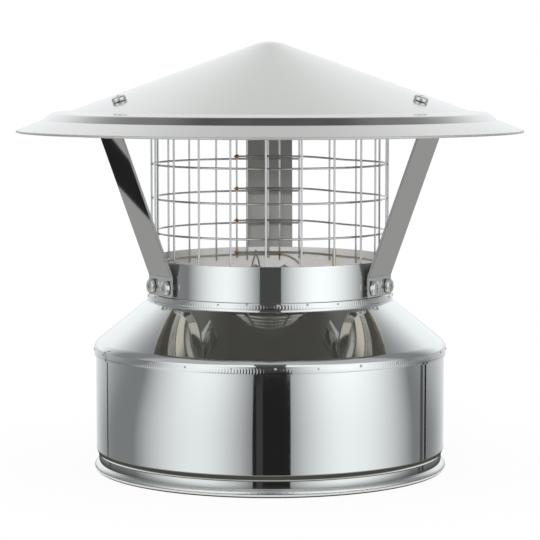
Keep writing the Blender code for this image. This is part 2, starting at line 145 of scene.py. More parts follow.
def add_object(name, data):
    """Object linked to the scene."""
    made = bpy.data.objects.new(name, data)
    bpy.context.collection.objects.link(made)
    return made


def finish_piece(name, bm, material, nodes=(), crease=35):
    """Make a piece from a bmesh, shade it, and set it in the frame."""
    mesh = make_mesh(name, bm)
    mesh.shade_smooth()
    mesh.set_sharp_from_angle(angle=radians(crease))
    mesh.materials.append(material)
    piece = add_object(name, mesh)
    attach(piece, "root")
    if nodes:
        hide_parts(*nodes)
    return piece


def add_material(piece, material, belongs):
    """Give the faces that a test picks another material."""
    piece.data.materials.append(material)
    for face in piece.data.polygons:
        if belongs(face):
            face.material_index = len(piece.data.materials) - 1


def feed(tree, socket, value):
    """Link an output to a socket, or set the socket's own value."""
    if isinstance(value, bpy.types.NodeSocket):
        tree.links.new(value, socket)
    else:
        socket.default_value = value


def add_node(tree, kind, **settings):
    """Shader node of a kind; each setting is a property of it or one of its inputs."""
    made = tree.nodes.new("ShaderNode" + kind)
    for key, value in settings.items():
        if key in made.bl_rna.properties:
            setattr(made, key, value)
        else:
            feed(tree, made.inputs[key.replace("_", " ")], value)
    return made


def calculate(tree, operation, *values):
    """Math node; each value is a number, an output, or another (operation, values)."""
    made = add_node(tree, "Math", operation=operation)
    for socket, value in zip(made.inputs, values):
        feed(tree, socket, calculate(tree, *value) if isinstance(value, tuple) else value)
    return made.outputs[0]


def mix_colours(tree, share, first, second, how="MIX"):
    """Mix node for colours; gives its result."""
    mixed = add_node(tree, "Mix", data_type="RGBA", blend_type=how)
    for index, value in ((0, share), (6, first), (7, second)):
        feed(tree, mixed.inputs[index], value)
    return mixed.outputs[2]


def object_place(tree):
    """A point's place on its object: X, Y and Z, and its distance from the axis."""
    place = add_node(tree, "TexCoord").outputs["Object"]
    x, y, z = add_node(tree, "SeparateXYZ", Vector=place).outputs
    reach = calculate(tree, "SQRT", ("ADD", ("MULTIPLY", x, x), ("MULTIPLY", y, y)))
    return x, y, z, reach


def new_group(name, inputs, outputs, colours=()):
    """Shader node group with named sockets, which hold values or colours."""
    group = bpy.data.node_groups.new(name, "ShaderNodeTree")
    for in_out, labels in (("INPUT", inputs), ("OUTPUT", outputs)):
        for label in labels:
            kind = "NodeSocketColor" if label in colours else "NodeSocketFloat"
            group.interface.new_socket(label, in_out=in_out, socket_type=kind)
    given = group.nodes.new("NodeGroupInput").outputs
    return group, given, group.nodes.new("NodeGroupOutput").inputs


def place_group(tree, group, **settings):
    """Group in a material, with its own values; gives its outputs."""
    return add_node(tree, "Group", node_tree=group, **settings).outputs


def make_sheet_wear():
    """Slow waves in hand-rolled sheet, and smears that dull its polish."""
    group, given, result = new_group(
        "sheet wear", ["Wave Length", "Polish", "Smears"], ["Height", "Roughness"]
    )
    place = add_node(group, "TexCoord").outputs["Object"]
    scale = calculate(group, "DIVIDE", 1.0, given["Wave Length"])
    waves = add_node(group, "TexNoise", Vector=place, Scale=scale, Detail=1.5, Roughness=0.4)
    feed(group, result["Height"], waves.outputs["Fac"])
    smears = add_node(group, "TexNoise", Vector=place, Scale=34.0, Detail=5.0, Roughness=0.62)
    fine = add_node(group, "TexNoise", Vector=place, Scale=410.0, Detail=2.0)
    both = ("MULTIPLY", smears.outputs["Fac"], fine.outputs["Fac"])
    dulled = calculate(group, "ADD", given["Polish"], ("MULTIPLY", both, given["Smears"]))
    feed(group, result["Roughness"], dulled)
    return group


def make_heat_tint():
    """Colours that a weld's heat leaves on bare steel, from straw to brown and blue."""
    group, given, result = new_group(
        "heat tint", ["Metal", "Heat"], ["Color"], colours=["Metal", "Color"]
    )
    ramp = add_node(group, "ValToRGB", Fac=given["Heat"])
    stops = ramp.color_ramp.elements
    stops[0].position, stops[0].color = 0.0, (1.0, 1.0, 1.0, 1)
    stops[1].position, stops[1].color = 1.0, (0.30, 0.32, 0.42, 1)
    for position, colour in (
        (0.30, (1.0, 0.90, 0.66, 1)),
        (0.60, (0.78, 0.52, 0.28, 1)),
        (0.82, (0.42, 0.27, 0.24, 1)),
    ):
        stops.new(position).color = colour
    tinted = mix_colours(group, 1.0, given["Metal"], ramp.outputs["Color"], "MULTIPLY")
    feed(group, result["Color"], tinted)
    return group


def make_seam_halo():
    """How near a point is to a lengthwise weld at a bearing, 1 on the weld itself."""
    group, given, result = new_group("seam halo", ["Bearing", "Width"], ["Heat"])
    place = add_node(group, "TexCoord").outputs["Object"]
    x, y, _, _ = object_place(group)
    apart = ("SUBTRACT", ("ARCTAN2", x, ("MULTIPLY", y, -1.0)), given["Bearing"])
    apart = ("ABSOLUTE", ("WRAP", apart, pi, -pi))
    ragged = add_node(group, "TexNoise", Vector=place, Scale=260.0, Detail=2.0).outputs["Fac"]
    reach = ("MULTIPLY", given["Width"], ("ADD", ragged, 0.5))
    near = calculate(group, "MAXIMUM", ("SUBTRACT", 1.0, ("DIVIDE", apart, reach)), 0.0)
    feed(group, result["Heat"], near)
    return group


sheet_wear = make_sheet_wear()
heat_tint = make_heat_tint()
seam_halo = make_seam_halo()

MIRROR_COLOUR = (0.745, 0.755, 0.735)
MIRROR_POLISH = 0.02
CASING_SEAM = radians(163)
SEAM_HALO = 0.030


def new_steel(name, colour, roughness=0.1, metallic=1.0):
    """Plain metal; gives the material, its tree and its shader's inputs."""
    material = bpy.data.materials.new(name)
    material.use_nodes = True
    inputs = material.node_tree.nodes["Principled BSDF"].inputs
    inputs["Base Color"].default_value = (*colour, 1)
    inputs["Metallic"].default_value = metallic
    inputs["Roughness"].default_value = roughness
    return material, material.node_tree, inputs


def set_finish(tree, inputs, finish, depth):
    """Feed a group's roughness to a shader, and its height as a bump of some depth."""
    bump = add_node(tree, "Bump", Distance=depth, Strength=1.0, Height=finish["Height"])
    feed(tree, inputs["Normal"], bump.outputs["Normal"])
    feed(tree, inputs["Roughness"], finish["Roughness"])


def add_heat(tree, inputs, heat):
    """Tint a metal's own colour by the heat that a weld left in it."""
    metal = inputs["Base Color"].default_value
    tint = place_group(tree, heat_tint, Metal=metal, Heat=heat)
    feed(tree, inputs["Base Color"], tint["Color"])


def new_worn_steel(name, colour, polish, smears, wave_length, wave_depth, metallic=1.0):
    """Metal with smears over its polish, and slight waves."""
    material, tree, inputs = new_steel(name, colour, polish, metallic)
    wear = place_group(tree, sheet_wear, Wave_Length=wave_length, Polish=polish, Smears=smears)
    set_finish(tree, inputs, wear, wave_depth)
    return material, tree, inputs


def add_seam_halo(tree, inputs, bearing):
    """Brown a metal beside the lengthwise weld at a bearing."""
    halo = place_group(tree, seam_halo, Bearing=bearing, Width=SEAM_HALO)
    add_heat(tree, inputs, halo["Heat"])


def new_mirror_sheet(name, seam_bearing, polish, wave_length, wave_depth):
    """Mirror-finished sheet with slight waves, and heat colours beside its seam."""
    material, tree, inputs = new_worn_steel(
        name, MIRROR_COLOUR, polish, 0.10, wave_length, wave_depth
    )
    add_seam_halo(tree, inputs, seam_bearing)
    return material


casing_steel = new_mirror_sheet(
    "casing_mirror_steel", CASING_SEAM, MIRROR_POLISH, 0.055, 0.00004
)
casing_skin = bend_path(
    [
        (CASING_RADIUS, CASING_TOP),
        (CASING_RADIUS, TAPER_TOP),
        (GROOVE_RADIUS, GROOVE_TOP),
        (GROOVE_RADIUS, 2 * CURL_RADIUS + 0.0002),
    ],
    GROOVE_BENDS,
)
curl_start = Vector((cos(CURL_START), sin(CURL_START))) * CURL_RADIUS
casing_skin += arc_points(
    Vector((GROOVE_RADIUS, CURL_RADIUS)), curl_start, -curl_start.orthogonal(),
    CURL_TURN, CURL_STEPS,
)
casing = finish_piece(
    "casing_shell",
    turn_section(casing_skin + inner_face(casing_skin, SHEET)[::-1]),
    casing_steel, ["outer_casing"],
)
# Rolling the rim broke the sheet's polish and left fine marks on it.
rim_steel = new_mirror_sheet("rolled_rim_steel", CASING_SEAM, 0.24, 0.0014, 0.00005)
add_material(casing, rim_steel, lambda face: face.center.z < 2 * CURL_RADIUS)

SEAM_RIPPLE = 0.0009
SEAM_STEPS_PER_RIPPLE = 6
SEAM_SHARES = [across / 3 - 1 for across in range(7)]
WELD_COLOUR = (0.62, 0.61, 0.59)


def upright_seam(name, radius, bearing, low, high, width, proud):
    """Lengthwise weld bead, a chain of overlapping ripples up a wall."""
    steps = int((high - low) / SEAM_RIPPLE * SEAM_STEPS_PER_RIPPLE)
    sunk = -copysign(SHEET / 4, proud)
    bm = bmesh.new()
    rows = []
    for step in range(steps + 1):
        height = low + (high - low) * step / steps
        crowns = []
        for share in SEAM_SHARES:
            phase = (height / SEAM_RIPPLE + 0.35 * share * share) % 1
            crowns.append((share, (1 - share * share) * proud * (0.7 + 0.5 * phase)))
        rows.append([
            bm.verts.new(around(radius + crown, bearing + share * width / 2 / radius, height))
            for share, crown in crowns + [(1, sunk), (-1, sunk)]
        ])
    join_rings(bm, rows, caps=True)
    finish_piece(name, bm, seam_metal, crease=70)


def new_weld_metal(name, heat):
    """Rippled weld metal, duller than the sheet and browned by its heat."""
    material, tree, inputs = new_steel(name, WELD_COLOUR)
    place = add_node(tree, "TexCoord").outputs["Object"]
    blotch = add_node(tree, "TexNoise", Vector=place, Scale=520.0, Detail=3.0).outputs["Fac"]
    add_heat(tree, inputs, calculate(tree, "MULTIPLY", blotch, heat))
    dulled = calculate(tree, "ADD", ("MULTIPLY", blotch, 0.25), 0.10)
    feed(tree, inputs["Roughness"], dulled)
    return material


seam_metal = new_weld_metal("lengthwise_weld_metal", 0.9)
upright_seam(
    "casing_lengthwise_seam", CASING_RADIUS, CASING_SEAM, 0.0112, 0.0594, 0.0014, 0.00012
)

# ----------------------------------------------------------------- shoulder cone
# The cone that joins tube and casing.  It is spun from the same sheet, with an
# upright neck and an upright skirt.  A wheel electrode rolled a seam weld round
# each, and left a band of ripples between the spot welds that held it first.

FLUE_RADIUS = 0.0625
NECK_RADIUS = FLUE_RADIUS + SEAT_GAP + SHEET
NECK_TOP = 0.0917
NECK_FOOT = 0.0873
SKIRT_RADIUS = CASING_RADIUS + SEAT_GAP + SHEET
SKIRT_TOP = 0.0653
SKIRT_FOOT = 0.0596
SHOULDER_BENDS = [SHEET * 0.8, 0.0012, 0.0080, 0.0024]
SHOULDER_SEAM = radians(171)

shoulder_steel = new_mirror_sheet(
    "shoulder_mirror_steel", SHOULDER_SEAM, MIRROR_POLISH, 0.030, 0.00004
)
shoulder_skin = bend_path(
    [
        (NECK_RADIUS - SHEET * 0.9, NECK_TOP),
        (NECK_RADIUS, NECK_TOP),
        (NECK_RADIUS, NECK_FOOT),
        (SKIRT_RADIUS - 0.0012, SKIRT_TOP + 0.00097),
        (SKIRT_RADIUS, SKIRT_TOP - 0.0011),
        (SKIRT_RADIUS, SKIRT_FOOT),
    ],
    SHOULDER_BENDS,
)
below_lip = shoulder_skin[BEND_STEPS + 3:]
finish_piece(
    "shoulder_shell",
    turn_section(shoulder_skin + inner_face(below_lip, SHEET * 0.9)[::-1]),
    shoulder_steel, ["shoulder_cone"],
)

RIPPLE_PITCH = 0.00150
RIPPLE_DEPTH = 0.00005
RIPPLE_BOW = 0.00055
POINTS_PER_RIPPLE = 8
BAND_ROWS = 8
BAND_PROUD = 0.00002

band_metal = new_mirror_sheet("rolled_seam_metal", SHOULDER_SEAM, 0.05, 0.004, 0.00002)


def rolled_seam(name, radius, low, high, seed):
    """Band of bowed ripples round a wall, as a seam welder's wheel leaves it."""
    ripples = round(tau * radius / RIPPLE_PITCH)
    section = [(radius, low + (high - low) * row / BAND_ROWS) for row in range(BAND_ROWS + 1)]
    section += [(radius - SHEET / 3, high), (radius - SHEET / 3, low)]

    def swell(index, bearing):
        """How proud the band stands, with ripples that wander and weaken."""
        if index > BAND_ROWS:
            return 0
        across = 2 * index / BAND_ROWS - 1
        spot = Vector((sin(bearing), cos(bearing), seed))
        strength = max(0.55 + 1.1 * noise.noise(spot * 3.1), 0.12)
        phase = bearing * ripples + (RIPPLE_BOW * across * across / RIPPLE_PITCH) * tau
        phase += noise.noise(spot * 9) * 1.2
        crest = 0.5 + 0.5 * sin(phase)
        return (1 - across ** 6) * (BAND_PROUD + RIPPLE_DEPTH * strength * crest)

    band = turn_section(section, ripples * POINTS_PER_RIPPLE, swell)
    finish_piece(name, band, band_metal, crease=80)


rolled_seam("neck_rolled_seam", NECK_RADIUS, 0.0884, 0.0908, 3.1)
rolled_seam("skirt_rolled_seam", SKIRT_RADIUS, 0.0604, 0.0632, 7.7)

SPOT_COUNT = 26
SPOT_SIDES = 16
SPOT_RADIUS = 0.00062
SPOT_PROUD = 0.00022
SPOT_PROFILE = [(0.0, 0.35), (0.35, 0.30), (0.62, 0.85), (0.82, 1.0), (1.0, 0.45), (1.1, -0.9)]


def stand_on(point, axis, spin):
    """Matrix that stands a small part on a point, along an axis, turned about it."""
    upright = axis.to_track_quat("Z", "Y").to_matrix().to_4x4()
    return Matrix.Translation(point) @ upright @ Matrix.Rotation(spin, 4, "Z")


def add_circle(bm, radius, height, sides, place=Matrix()):
    """Ring of points round the upright axis of a place."""
    return [
        bm.verts.new(place @ Vector((radius * cos(turn), radius * sin(turn), height)))
        for turn in (tau * side / sides for side in range(sides))
    ]


def spot_welds(name, radius, height, start, seed):
    """Small craters with a raised lip, one for each spot weld round a band."""
    dice = random.Random(seed)
    bm = bmesh.new()
    for number in range(SPOT_COUNT):
        bearing = start + tau * (number + dice.uniform(-0.07, 0.07)) / SPOT_COUNT
        size = SPOT_RADIUS * dice.uniform(0.75, 1.2)
        middle = around(radius, bearing, height + dice.uniform(-0.0005, 0.0005))
        place = stand_on(middle, around(1, bearing, 0), 0)
        rings = [
            add_circle(bm, across * size, proud * SPOT_PROUD, SPOT_SIDES, place)
            for across, proud in SPOT_PROFILE
        ]
        join_rings(bm, rings)
        bm.faces.new(rings[-1])
    finish_piece(name, bm, spot_metal, crease=80)


spot_metal = new_weld_metal("spot_weld_metal", 0.1)
spot_welds("neck_spot_welds", NECK_RADIUS + 0.00008, 0.0905, radians(-10.2), 11)
spot_welds("skirt_spot_welds", SKIRT_RADIUS + 0.00008, 0.0628, radians(1.7), 12)

# --------------------------------------------------------------------- flue tube
# Plain tube of mirror-finished sheet that pushes on the flue's inner wall.  Its
# lengthwise weld shows inside at the back, with a browned strip to each side.

FLUE_RIM = 0.1094
FLUE_FOOT = 0.008
TUBE_SEAM = radians(146)
RIM_ROUND = 0.00018

tube_steel = new_mirror_sheet("tube_mirror_steel", TUBE_SEAM, MIRROR_POLISH, 0.045, 0.00003)
tube_skin = bend_path(
    [
        (FLUE_RADIUS - SHEET / 2, FLUE_RIM),
        (FLUE_RADIUS, FLUE_RIM),
        (FLUE_RADIUS, FLUE_FOOT),
        (FLUE_RADIUS - SHEET, FLUE_FOOT),
        (FLUE_RADIUS - SHEET, FLUE_RIM),
        (FLUE_RADIUS - SHEET / 2, FLUE_RIM),
    ],
    [RIM_ROUND] * 4,
    steps=3,
)
tube = finish_piece(
    "tube_shell", turn_section(tube_skin[:-1]), tube_steel, ["flue_tube"]
)


def new_mill_finish(name, colour, roughness, metallic=1.0):
    """Grey mill finish of a sheet's unpolished side, with soft cloudy patches."""
    return new_worn_steel(name, colour, roughness, 0.25, 0.012, 0.00002, metallic)


tube_mill, *mill_shader = new_mill_finish("tube_mill_finish", (0.90, 0.89, 0.86), 0.50, 0.2)
add_seam_halo(*mill_shader, TUBE_SEAM)
add_material(tube, tube_mill, lambda face: face.center.xy.length < FLUE_RADIUS - SHEET * 0.9)
SEAM_END = FLUE_RIM - 0.0002
upright_seam(
    "tube_inner_seam", FLUE_RADIUS - SHEET, TUBE_SEAM, FLUE_FOOT, SEAM_END, 0.0018, -0.00016
)
upright_seam(
    "tube_outer_seam", FLUE_RADIUS, TUBE_SEAM, NECK_TOP, SEAM_END, 0.0014, 0.00008
)

# ------------------------------------------------------------------------ straps
# Three flat straps of thicker strip, polished outside and mill-finished inside,
# sheared to width and bent in a brake.  Each has a tab screwed to the tube, a leg
# that leans outwards, and a flange under the hat.

STRAP_BEARINGS = {
    "front_left": radians(-60),
    "front_right": radians(60),
    "back": radians(180),
}
STRAP_WIDTH = 0.0245
STRAP_THICKNESS = 0.0012
STRAP_FACE = FLUE_RADIUS + SEAT_GAP + STRAP_THICKNESS
STRAP_BEND_HEIGHT = 0.1022
STRAP_BEND = 0.0015
STRAP_CORNER = STRAP_FACE + 0.032
STRAP_ROUNDING = 0.00022
FLANGE_END = STRAP_CORNER - 0.017

CONE_SLOPE = radians(19.87)
BRIM_SLOPE = radians(21)
HAT_RADIUS = 0.130
HAT_EDGE = 0.1748
BRIM_FOOT = 0.1166
SHELF_INNER = 0.1024
SHELF_OUTER = 0.1118
SHELF_FALL = 0.0007
RISER_HEIGHT = 0.0038

brim_top = HAT_EDGE + (HAT_RADIUS - BRIM_FOOT) * tan(BRIM_SLOPE)


def cone_height(radius):
    """Height of the hat's conical upper face at a radius."""
    shelf = brim_top + RISER_HEIGHT + SHELF_FALL
    return shelf + (SHELF_INNER - radius) * tan(CONE_SLOPE)


flange_depth = SHEET + SEAT_GAP
flange_depth += (hypot(FLANGE_END, STRAP_WIDTH / 2) - FLANGE_END) * sin(CONE_SLOPE)


def flange_height(radius):
    """Height of a strap's top face where it lies under the cone."""
    return cone_height(radius) - flange_depth / cos(CONE_SLOPE)


def make_drawn_lines():
    """Fine lines that rolling or spinning draws along a surface."""
    group, given, result = new_group(
        "drawn lines", ["Across", "Along", "Line Width", "Polish", "Dulling"],
        ["Height", "Roughness"],
    )
    fine = calculate(group, "DIVIDE", given["Across"], given["Line Width"])
    slow = calculate(group, "MULTIPLY", given["Along"], 55.0)
    place = add_node(group, "CombineXYZ", X=fine, Y=slow).outputs["Vector"]
    lines = add_node(group, "TexNoise", Vector=place, Scale=1.0, Detail=3.0, Roughness=0.6)
    lines = lines.outputs["Fac"]
    feed(group, result["Height"], lines)
    dulled = calculate(group, "ADD", given["Polish"], ("MULTIPLY", lines, given["Dulling"]))
    feed(group, result["Roughness"], dulled)
    return group


drawn_lines = make_drawn_lines()

strap_steel, strap_tree, strap_inputs = new_steel("strap_polished_steel", (0.68, 0.68, 0.665))
strip_place = add_node(strap_tree, "UVMap", uv_map="strip").outputs["UV"]
strip_across, strip_along, _ = add_node(strap_tree, "SeparateXYZ", Vector=strip_place).outputs
strap_lines = place_group(
    strap_tree, drawn_lines,
    Across=strip_across, Along=strip_along, Line_Width=0.00035, Polish=0.008, Dulling=0.014,
)
set_finish(strap_tree, strap_inputs, strap_lines, 0.0000001)
strap_mill = new_mill_finish("strap_mill_finish", (0.60, 0.60, 0.585), 0.40, 0.55)[0]
strap_edge = new_mill_finish("strap_sheared_edge", (0.42, 0.42, 0.41), 0.40)[0]

strap_face = bend_path(
    [
        (FLANGE_END, flange_height(FLANGE_END)),
        (STRAP_CORNER, flange_height(STRAP_CORNER)),
        (STRAP_FACE, STRAP_BEND_HEIGHT),
        (STRAP_FACE, NECK_TOP + SEAT_GAP),
    ],
    [STRAP_BEND + STRAP_THICKNESS, STRAP_BEND],
)
strap_section = strap_face + inner_face(strap_face, STRAP_THICKNESS)[::-1]
strap_lengths = [0.0]
for before, point in zip(strap_face, strap_face[1:]):
    strap_lengths.append(strap_lengths[-1] + (point - before).length)
strap_lengths += strap_lengths[::-1]

for side, bearing in STRAP_BEARINGS.items():
    out, along = around(1, bearing, 0), around(1, bearing + pi / 2, 0)
    bm = bmesh.new()
    uv = bm.loops.layers.uv.new("strip")
    edges = [
        [
            bm.verts.new(out * point.x + along * shift + Vector((0, 0, point.y)))
            for point in strap_section
        ]
        for shift in (-STRAP_WIDTH / 2, STRAP_WIDTH / 2)
    ]
    join_rings(bm, edges)
    for row in edges:
        join_rings(bm, [row[:len(strap_face)], row[:len(strap_face) - 1:-1]], closed=False)
    bm.verts.index_update()
    for made in bm.faces:
        for loop in made.loops:
            edge, index = divmod(loop.vert.index, len(strap_section))
            loop[uv].uv = (edge * STRAP_WIDTH, strap_lengths[index])
    strap = finish_piece(
        f"strap_{side}_strip", bm, strap_steel, [f"strap_{side}"], crease=30
    )
    add_material(strap, strap_mill, lambda face: face.normal.dot(out) < -0.5)
    add_material(strap, strap_edge, lambda face: abs(face.normal.dot(along)) > 0.9)
    rounding = strap.modifiers.new("sheared edge", "BEVEL")
    rounding.width = STRAP_ROUNDING
    rounding.segments = 2
    rounding.limit_method = "ANGLE"
    rounding.angle_limit = radians(50)
    rounding.harden_normals = True

# --------------------------------------------------------------- screws and nuts
# Nine pan-head screws with a cross recess, all of one size, each with a plain
# hexagon nut.  Two hold each strap to the tube and one holds it to the hat.

SCREW_RADIUS = 0.00175
SCREW_LENGTH = 0.008
HEAD_RADIUS = 0.0037
HEAD_HEIGHT = 0.0023
HEAD_EDGE = 0.0009
HEAD_SIDES = 40
HEAD_STEPS = 10
RECESS_LENGTH = 0.0040
RECESS_WIDTH = 0.0009
RECESS_DEPTH = 0.0014
THREAD_PITCH = 0.0006
THREAD_DEPTH = 0.00022
THREAD_SIDES = 24
NUT_FLATS = 0.006
NUT_HEIGHT = 0.0028
NUT_CHAMFER = 0.0004
NUT_BORE = SCREW_RADIUS + 0.00015
NUT_BORE_CHAMFER = 0.0003
NUT_SIDES = 48
SCREW_SPACING = 0.0155
COLLAR_SCREW_HEIGHT = 0.0967
HAT_SCREW_RADIUS = STRAP_CORNER - 0.010

fastener_steel = new_worn_steel(
    "fastener_steel", (0.84, 0.84, 0.83), 0.28, 0.26, 0.0009, 0.000012
)[0]


def screw_head():
    """Pan head above the origin, with its cross recess cut out, as a mesh."""
    dome = [(0.0, HEAD_HEIGHT)]
    for step in range(1, HEAD_STEPS + 1):
        angle = pi / 2 * step / HEAD_STEPS
        dome.append((
            HEAD_RADIUS * sin(angle) ** 0.75,
            HEAD_EDGE + (HEAD_HEIGHT - HEAD_EDGE) * cos(angle) ** 0.6,
        ))
    dome += [(HEAD_RADIUS, 0.0001), (HEAD_RADIUS - 0.0001, 0.0), (0.0, 0.0)]
    head = add_object("screw_head", make_mesh("screw_head", turn_section(dome, HEAD_SIDES)))

    half, wide = RECESS_LENGTH / 2, RECESS_WIDTH / 2
    cross = []
    for x, y in ((1, 1), (1, -1), (-1, -1), (-1, 1)):
        arms = [(wide * x, half * y), (wide * x, wide * y), (half * x, wide * y)]
        cross += arms if x == y else arms[::-1]
    bm = bmesh.new()
    top = [bm.verts.new((x, y, HEAD_HEIGHT * 1.2)) for x, y in cross]
    floor = [bm.verts.new((x * 0.6, y * 0.6, HEAD_HEIGHT - RECESS_DEPTH)) for x, y in cross]
    join_rings(bm, [top, floor], caps=True)
    cutter = add_object("cross_recess", make_mesh("cross_recess", bm))

    cut = head.modifiers.new("recess", "BOOLEAN")
    cut.operation, cut.solver, cut.object = "DIFFERENCE", "EXACT", cutter
    bpy.context.view_layer.update()
    finished = bpy.data.meshes.new_from_object(
        head.evaluated_get(bpy.context.evaluated_depsgraph_get())
    )
    bpy.data.objects.remove(head)
    bpy.data.objects.remove(cutter)
    return finished


head_mesh = screw_head()


def make_screw(name, place):
    """Screw with its own mesh, set in its place."""
    bm = bmesh.new()
    bm.from_mesh(head_mesh)
    root_radius = SCREW_RADIUS - THREAD_DEPTH
    bmesh.ops.create_cone(
        bm, cap_ends=True, segments=THREAD_SIDES, radius1=root_radius, radius2=root_radius,
        depth=SCREW_LENGTH - 0.0002,
        matrix=Matrix.Translation((0, 0, -SCREW_LENGTH / 2 + 0.0001)),
    )
    buried = SCREW_RADIUS - THREAD_DEPTH * 1.2
    for turn in range(int(SCREW_LENGTH / THREAD_PITCH)):
        crest = -(turn + 0.5) * THREAD_PITCH
        rings = [
            add_circle(bm, radius, crest + THREAD_PITCH * shift, THREAD_SIDES)
            for radius, shift in (
                (buried, 0.45), (SCREW_RADIUS, 0.08), (SCREW_RADIUS, -0.08), (buried, -0.45)
            )
        ]
        join_rings(bm, rings + rings[:1])
    bmesh.ops.transform(bm, matrix=place, verts=bm.verts)
    finish_piece(name + "_pan_head", bm, fastener_steel, [name], crease=32)


def make_nut(name, place):
    """Hexagon nut below its seat, chamfered on its outer face."""
    flat = NUT_FLATS / 2
    corner = flat / cos(pi / 6)
    bore_mouth = NUT_BORE + NUT_BORE_CHAMFER
    bm = bmesh.new()
    rings = []
    for corner_radius, flat_radius, height in (
        (NUT_BORE, NUT_BORE, 0.0),
        (corner, flat, 0.0),
        (corner, flat, NUT_CHAMFER - NUT_HEIGHT),
        (flat, flat - NUT_CHAMFER / 4, -NUT_HEIGHT),
        (bore_mouth, bore_mouth, -NUT_HEIGHT),
        (NUT_BORE, NUT_BORE, NUT_BORE_CHAMFER - NUT_HEIGHT),
    ):
        ring = []
        for side in range(NUT_SIDES):
            turn = tau * side / NUT_SIDES
            from_flat = (turn + pi / 6) % (pi / 3) - pi / 6
            reach = min(flat_radius / cos(from_flat), corner_radius)
            ring.append(bm.verts.new((reach * cos(turn), reach * sin(turn), height)))
        rings.append(ring)
    join_rings(bm, rings + rings[:1])
    bmesh.ops.transform(bm, matrix=place, verts=bm.verts)
    finish_piece(name + "_hexagon", bm, fastener_steel, [name], crease=28)


far_edge = SCREW_SPACING / 2 + NUT_FLATS / sqrt(3)
collar_nut_depth = STRAP_FACE + 2 * SEAT_GAP
collar_nut_depth -= sqrt((FLUE_RADIUS - SHEET) ** 2 - far_edge ** 2)
hat_nut_depth = 2 * SEAT_GAP + flange_depth + STRAP_THICKNESS
turns = random.Random(5)
for side, bearing in STRAP_BEARINGS.items():
    out, along = around(1, bearing, 0), around(1, bearing + pi / 2, 0)
    up = out * sin(CONE_SLOPE) + Vector((0, 0, cos(CONE_SLOPE)))
    on_tab = out * (STRAP_FACE + SEAT_GAP) + Vector((0, 0, COLLAR_SCREW_HEIGHT))
    on_hat = out * HAT_SCREW_RADIUS + Vector((0, 0, cone_height(HAT_SCREW_RADIUS)))
    for label, seat, axis, nut_depth in (
        (f"collar_%s_{side}_1", on_tab - along * SCREW_SPACING / 2, out, collar_nut_depth),
        (f"collar_%s_{side}_2", on_tab + along * SCREW_SPACING / 2, out, collar_nut_depth),
        (f"hat_%s_{side}", on_hat + up * SEAT_GAP, up, hat_nut_depth),
    ):
        make_screw(label % "screw", stand_on(seat, axis, turns.uniform(0, pi / 2)))
        make_nut(label % "nut", stand_on(seat - axis * nut_depth, axis, 0))

# -------------------------------------------------------------------- bird guard
# A sheet of welded square mesh, rolled to a cylinder inside the tube's rim.
# It laps itself at the back, where its inner end is tacked to the outer one,
# and the lowest ring wire runs on past the lap as a loose, bent end.

WIRE_RADIUS = 0.00052
WIRE_SIDES = 12
GUARD_GAP = 0.0004
WELD_DEPTH = 0.00022
FRONT_WIRE = radians(-1.9)
CELL_ANGLE = radians(16.63)
WIRES_TO_LEFT = 11
WIRES_TO_RIGHT = 12
RING_COUNT = 6
RING_POINTS_PER_CELL = 8
CROSSING_POINTS = (-0.0030, -0.0012, -0.0006, 0.0, 0.0006, 0.0012, 0.0030)
LOWEST_RING = 0.1054
CELL_HEIGHT = 0.017325
STUB_LENGTH = 0.0018
LEFT_STUB = radians(11.0)
LEFT_STUB_POINTS = 5
RIGHT_STUB = radians(1.8)
LAP_STEP = 0.0022
LAP_WELD_STEP = 0.00165
LAP_EASE = radians(30)
LAP_RISE = 0.0014
LOOSE_END_DROP = 0.0046
LOOSE_END_INSET = 0.0022
WELD_REACH = 0.0014
NEAR_WELD = 0.004
TACK_RADIUS = 0.00105

left_wire = FRONT_WIRE - WIRES_TO_LEFT * CELL_ANGLE
right_wire = FRONT_WIRE + WIRES_TO_RIGHT * CELL_ANGLE


def lap_share(bearing):
    """Share of the way over to the lap's inner layer, 1 on the layer itself."""
    lap_start = tau + left_wire - LEFT_STUB
    ease = min(max((bearing - lap_start + LAP_EASE) / LAP_EASE, 0), 1)
    return ease * ease * (3 - 2 * ease)


def upright_reach(bearing):
    """Distance from the axis to the middle of an upright wire."""
    closing = min(max((bearing - right_wire + CELL_ANGLE) / CELL_ANGLE, 0), 1)
    inset = LAP_STEP * lap_share(bearing) + (LAP_WELD_STEP - LAP_STEP) * closing * closing
    return FLUE_RADIUS - SHEET - GUARD_GAP - WIRE_RADIUS - inset


def ring_reach(bearing):
    """Distance from the axis to the middle of a ring wire, inside the uprights."""
    return upright_reach(bearing) - 2 * WIRE_RADIUS + WELD_DEPTH


def ring_point(bearing, number):
    """Point on a ring wire; the lowest one bends in and down at its loose end."""
    bend = max((left_wire - bearing) / LEFT_STUB, 0) ** 2 if number == 0 else 0
    height = LOWEST_RING + number * CELL_HEIGHT + LAP_RISE * lap_share(bearing)
    return around(
        ring_reach(bearing) - LOOSE_END_INSET * bend, bearing, height - LOOSE_END_DROP * bend
    )


bm = bmesh.new()
heat_layer = bm.verts.layers.float.new("weld_heat")


def weld_warmth(place):
    """Heat colour at a point of the guard, from the welds around it."""
    return max((
        strength * max(1 - (place - weld).length / WELD_REACH / (0.6 + strength), 0) ** 0.7
        for weld, strength in weld_heats
        if max(abs(place.z - weld.z), abs(place.x - weld.x)) < NEAR_WELD
    ), default=0.0)


